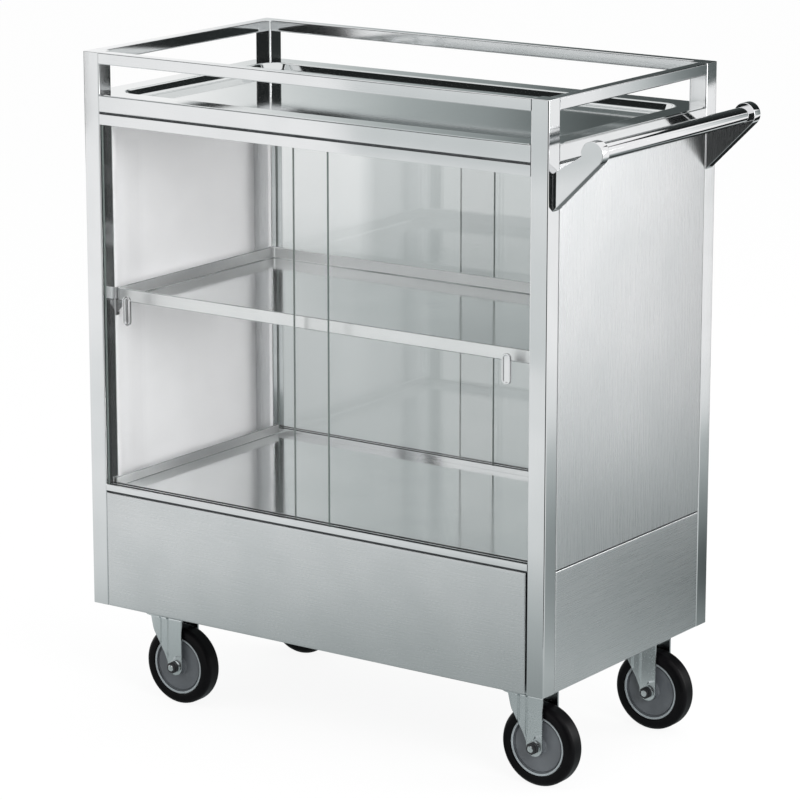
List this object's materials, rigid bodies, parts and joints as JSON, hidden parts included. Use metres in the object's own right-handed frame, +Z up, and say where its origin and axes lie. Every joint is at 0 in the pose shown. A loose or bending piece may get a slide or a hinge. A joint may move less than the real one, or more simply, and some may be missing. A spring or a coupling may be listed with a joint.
{
  "type": "food display cart",
  "caption": "Stainless steel serving cart with a glazed display behind sliding glass doors, a middle shelf, a railed serving deck, a push handle and swivel casters.",
  "frame": {"origin": "centre of the overall bounding box, on the floor under the wheels", "axes": "+Z up; +X towards the end with the push handle; -Y towards the front, the side in the picture"},
  "size_m": [0.922, 0.46, 1.0295],
  "materials": {
    "satin_steel": "satin",
    "polished_steel": "polished",
    "glass": "clear",
    "zinc": "bright zinc plated",
    "hub": "moulded, dark grey",
    "tyre": "matte black rubber",
    "plug": "moulded, black"
  },
  "bodies": {
    "cart": {"post_front_left": "satin_steel", "post_front_right": "satin_steel", "post_rear_left": "satin_steel", "post_rear_right": "satin_steel", "post_plugs": "plug", "gallery_rail_front": "satin_steel", "gallery_rail_rear": "satin_steel", "gallery_rail_left": "satin_steel", "gallery_rail_right": "satin_steel", "deck_rail_front": "satin_steel", "deck_rail_rear": "satin_steel", "deck_rail_left": "satin_steel", "deck_rail_right": "satin_steel", "top_deck": "polished_steel", "upper_track_front": "satin_steel", "upper_track_rear": "satin_steel", "sill_track_front": "satin_steel", "sill_track_rear": "satin_steel", "side_panel_left": "satin_steel", "side_panel_right": "satin_steel", "skirt_front": "satin_steel", "skirt_rear": "satin_steel", "skirt_left": "satin_steel", "skirt_right": "satin_steel", "base_plate": "satin_steel", "bottom_deck": "polished_steel", "middle_shelf": "polished_steel", "shelf_brackets": "polished_steel", "handle_tube": "polished_steel", "handle_bracket_front": "polished_steel", "handle_bracket_rear": "polished_steel", "caster_plate_front_left": "zinc", "caster_plate_front_right": "zinc", "caster_plate_rear_left": "zinc", "caster_plate_rear_right": "zinc", "caster_bolts": "zinc"},
    "front_door_left_body": {"front_door_left": "glass", "front_pull_left": "polished_steel"},
    "front_door_right_body": {"front_door_right": "glass", "front_pull_right": "polished_steel"},
    "rear_door_left_body": {"rear_door_left": "glass", "rear_pull_left": "polished_steel"},
    "rear_door_right_body": {"rear_door_right": "glass", "rear_pull_right": "polished_steel"},
    "caster_front_left": {"fork_front_left": "zinc", "axle_front_left": "zinc"},
    "wheel_front_left": {"hub_front_left": "hub", "tyre_front_left": "tyre"},
    "caster_front_right": {"fork_front_right": "zinc", "axle_front_right": "zinc"},
    "wheel_front_right": {"hub_front_right": "hub", "tyre_front_right": "tyre"},
    "caster_rear_left": {"fork_rear_left": "zinc", "axle_rear_left": "zinc"},
    "wheel_rear_left": {"hub_rear_left": "hub", "tyre_rear_left": "tyre"},
    "caster_rear_right": {"fork_rear_right": "zinc", "axle_rear_right": "zinc"},
    "wheel_rear_right": {"hub_rear_right": "hub", "tyre_rear_right": "tyre"}
  },
  "joints": [
    {"name": "front_door_left_slide", "type": "slide", "parent": "cart", "child": "front_door_left_body", "axis": [1, 0, 0], "range_m": [0, 0.354]},
    {"name": "front_door_right_slide", "type": "slide", "parent": "cart", "child": "front_door_right_body", "axis": [1, 0, 0], "range_m": [-0.354, 0]},
    {"name": "rear_door_left_slide", "type": "slide", "parent": "cart", "child": "rear_door_left_body", "axis": [1, 0, 0], "range_m": [0, 0.354]},
    {"name": "rear_door_right_slide", "type": "slide", "parent": "cart", "child": "rear_door_right_body", "axis": [1, 0, 0], "range_m": [-0.354, 0]},
    {"name": "caster_front_left_swivel", "type": "hinge", "parent": "cart", "child": "caster_front_left", "pos_m": [-0.377, -0.159, 0.139], "axis": [0, 0, 1], "continuous": true},
    {"name": "wheel_front_left_spin", "type": "hinge", "parent": "caster_front_left", "child": "wheel_front_left", "pos_m": [-0.34, -0.159, 0.0625], "axis": [0, 1, 0], "continuous": true},
    {"name": "caster_front_right_swivel", "type": "hinge", "parent": "cart", "child": "caster_front_right", "pos_m": [0.295, -0.159, 0.139], "axis": [0, 0, 1], "continuous": true},
    {"name": "wheel_front_right_spin", "type": "hinge", "parent": "caster_front_right", "child": "wheel_front_right", "pos_m": [0.332, -0.159, 0.0625], "axis": [0, 1, 0], "continuous": true},
    {"name": "caster_rear_left_swivel", "type": "hinge", "parent": "cart", "child": "caster_rear_left", "pos_m": [-0.377, 0.159, 0.139], "axis": [0, 0, 1], "continuous": true},
    {"name": "wheel_rear_left_spin", "type": "hinge", "parent": "caster_rear_left", "child": "wheel_rear_left", "pos_m": [-0.34, 0.159, 0.0625], "axis": [0, 1, 0], "continuous": true},
    {"name": "caster_rear_right_swivel", "type": "hinge", "parent": "cart", "child": "caster_rear_right", "pos_m": [0.295, 0.159, 0.139], "axis": [0, 0, 1], "continuous": true},
    {"name": "wheel_rear_right_spin", "type": "hinge", "parent": "caster_rear_right", "child": "wheel_rear_right", "pos_m": [0.332, 0.159, 0.0625], "axis": [0, 1, 0], "continuous": true}
  ]
}
